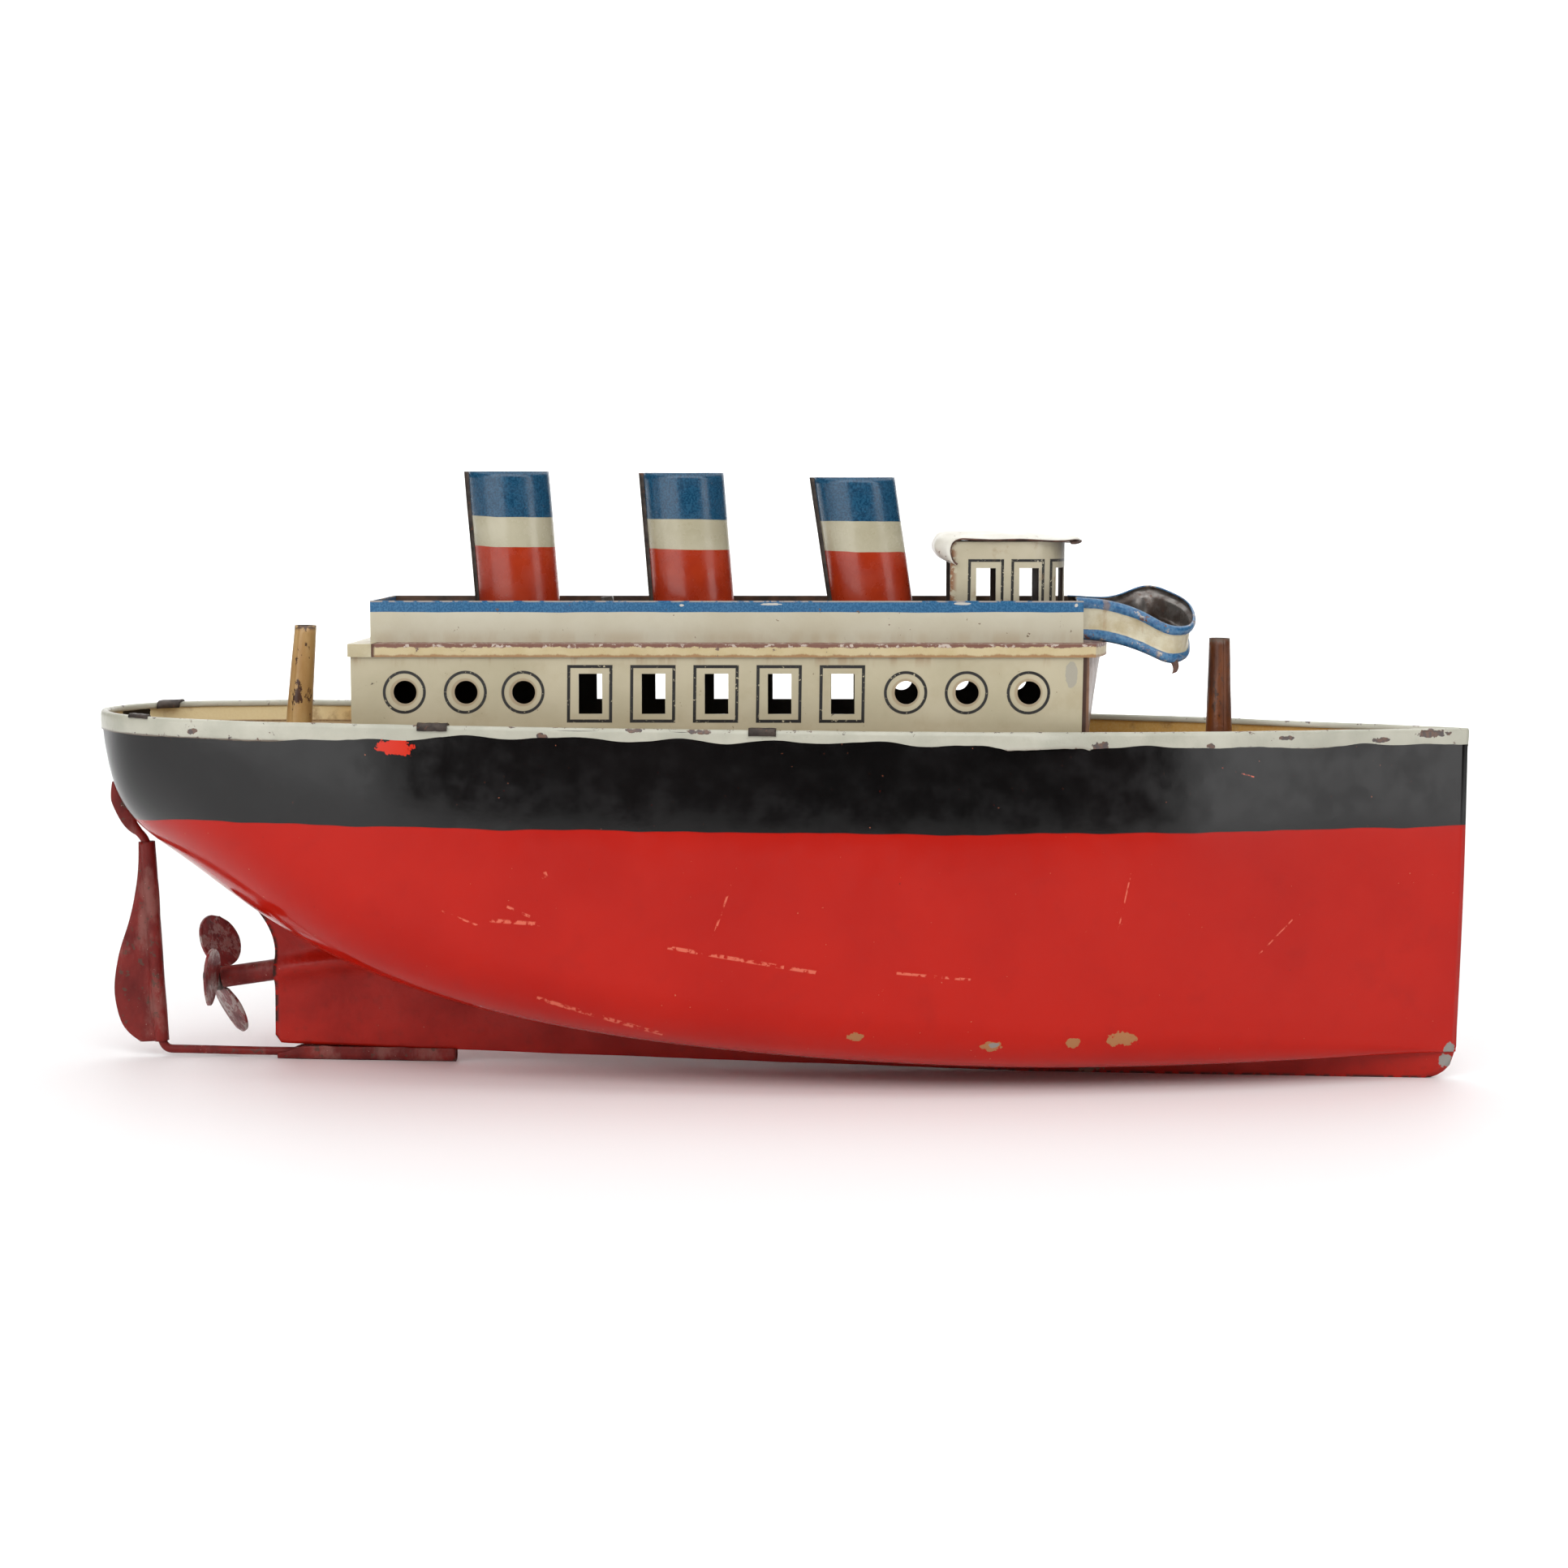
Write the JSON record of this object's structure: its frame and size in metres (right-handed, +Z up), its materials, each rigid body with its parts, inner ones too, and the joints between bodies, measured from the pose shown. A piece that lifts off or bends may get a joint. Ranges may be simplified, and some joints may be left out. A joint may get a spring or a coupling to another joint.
{
  "type": "toy boat",
  "caption": "Clockwork tinplate ocean liner: pressed two-half hull, deckhouse with promenade tray, raked funnels, wound gear train to the propeller, swinging rudder.",
  "frame": {"origin": "on the ground under the middle of the hull, keel's foot at z = 0", "axes": "+X to the bow, +Y to port, +Z up"},
  "size_m": [0.2499, 0.061, 0.1094],
  "materials": {
    "hull_enamel": "glossy red and black lithographed tin",
    "hull_enamel_matt": "dull dark red paint",
    "deck_litho": "ochre lithographed tin",
    "rim_cream": "worn cream paint",
    "bare_tin": "tarnished bare tin",
    "house_litho": "yellowed cream lithographed tin",
    "worn_tan": "worn tan paint",
    "tray_litho": "cream and blue lithographed tin",
    "funnel_litho": "red, cream and blue lithographed tin",
    "bridge_litho": "cream lithographed tin",
    "mast_ochre": "worn ochre paint",
    "wire_steel": "dull drawn steel",
    "spring_steel": "blued spring steel",
    "motor_tin": "tinned sheet",
    "motor_brass": "plain brass"
  },
  "bodies": {
    "hull": {"hull_starboard": "hull_enamel", "hull_port": "hull_enamel", "main_deck": "deck_litho", "rim_band": "rim_cream", "deck_tabs": "bare_tin", "deckhouse": "house_litho", "deckhouse_front": "house_litho", "boat_deck": "worn_tan", "aft_cap": "worn_tan", "promenade_tray": "tray_litho", "funnel_aft": "funnel_litho", "funnel_mid": "funnel_litho", "funnel_fore": "funnel_litho", "wheelhouse": "bridge_litho", "wheelhouse_roof": "bridge_litho", "front_bulwark": "tray_litho", "mast_aft": "mast_ochre", "mast_fore": "mast_ochre", "stern_tube": "hull_enamel_matt", "rudder_wire": "wire_steel", "keel_shoe": "hull_enamel_matt", "lower_plate": "motor_tin", "upper_plate": "motor_tin", "plate_pillars": "motor_brass", "motor_feet": "motor_tin", "mainspring": "spring_steel"},
    "great_wheel_arbor": {"winding_arbor": "wire_steel", "ratchet_wheel": "motor_brass", "great_wheel": "motor_brass", "click": "wire_steel", "click_spring": "spring_steel"},
    "second_wheel_arbor": {"second_arbor": "wire_steel", "second_pinion": "wire_steel", "second_wheel": "motor_brass"},
    "third_wheel_arbor": {"third_arbor": "wire_steel", "third_pinion": "wire_steel", "crown_wheel": "motor_brass"},
    "propeller_line": {"propeller_shaft": "wire_steel", "shaft_pinion": "wire_steel", "propeller": "bare_tin", "propeller_nut": "bare_tin"},
    "rudder_blade": {"rudder": "hull_enamel_matt"}
  },
  "joints": [
    {"name": "great_wheel_spin", "type": "hinge", "parent": "hull", "child": "great_wheel_arbor", "pos_m": [-0.02295, 0, 0.02801], "axis": [-0.1599, 0, 0.9871], "continuous": true},
    {"name": "second_wheel_spin", "type": "hinge", "parent": "hull", "child": "second_wheel_arbor", "pos_m": [-0.04072, 0, 0.02514], "axis": [-0.1599, 0, 0.9871], "continuous": true},
    {"name": "third_wheel_spin", "type": "hinge", "parent": "hull", "child": "third_wheel_arbor", "pos_m": [-0.05256, 0, 0.02322], "axis": [-0.1599, 0, 0.9871], "continuous": true},
    {"name": "propeller_spin", "type": "hinge", "parent": "hull", "child": "propeller_line", "pos_m": [-0.1033, 0, 0.015], "axis": [0.9871, 0, 0.1599], "continuous": true},
    {"name": "rudder_swing", "type": "hinge", "parent": "hull", "child": "rudder_blade", "pos_m": [-0.1148, 0, 0.0029], "axis": [-0.0614, 0, 0.9981], "range_deg": [-60, 60]}
  ],
  "couplings": [
    {"joint": "second_wheel_spin", "follows": "great_wheel_spin", "ratio": -4},
    {"joint": "third_wheel_spin", "follows": "great_wheel_spin", "ratio": 12},
    {"joint": "propeller_spin", "follows": "great_wheel_spin", "ratio": 36}
  ]
}
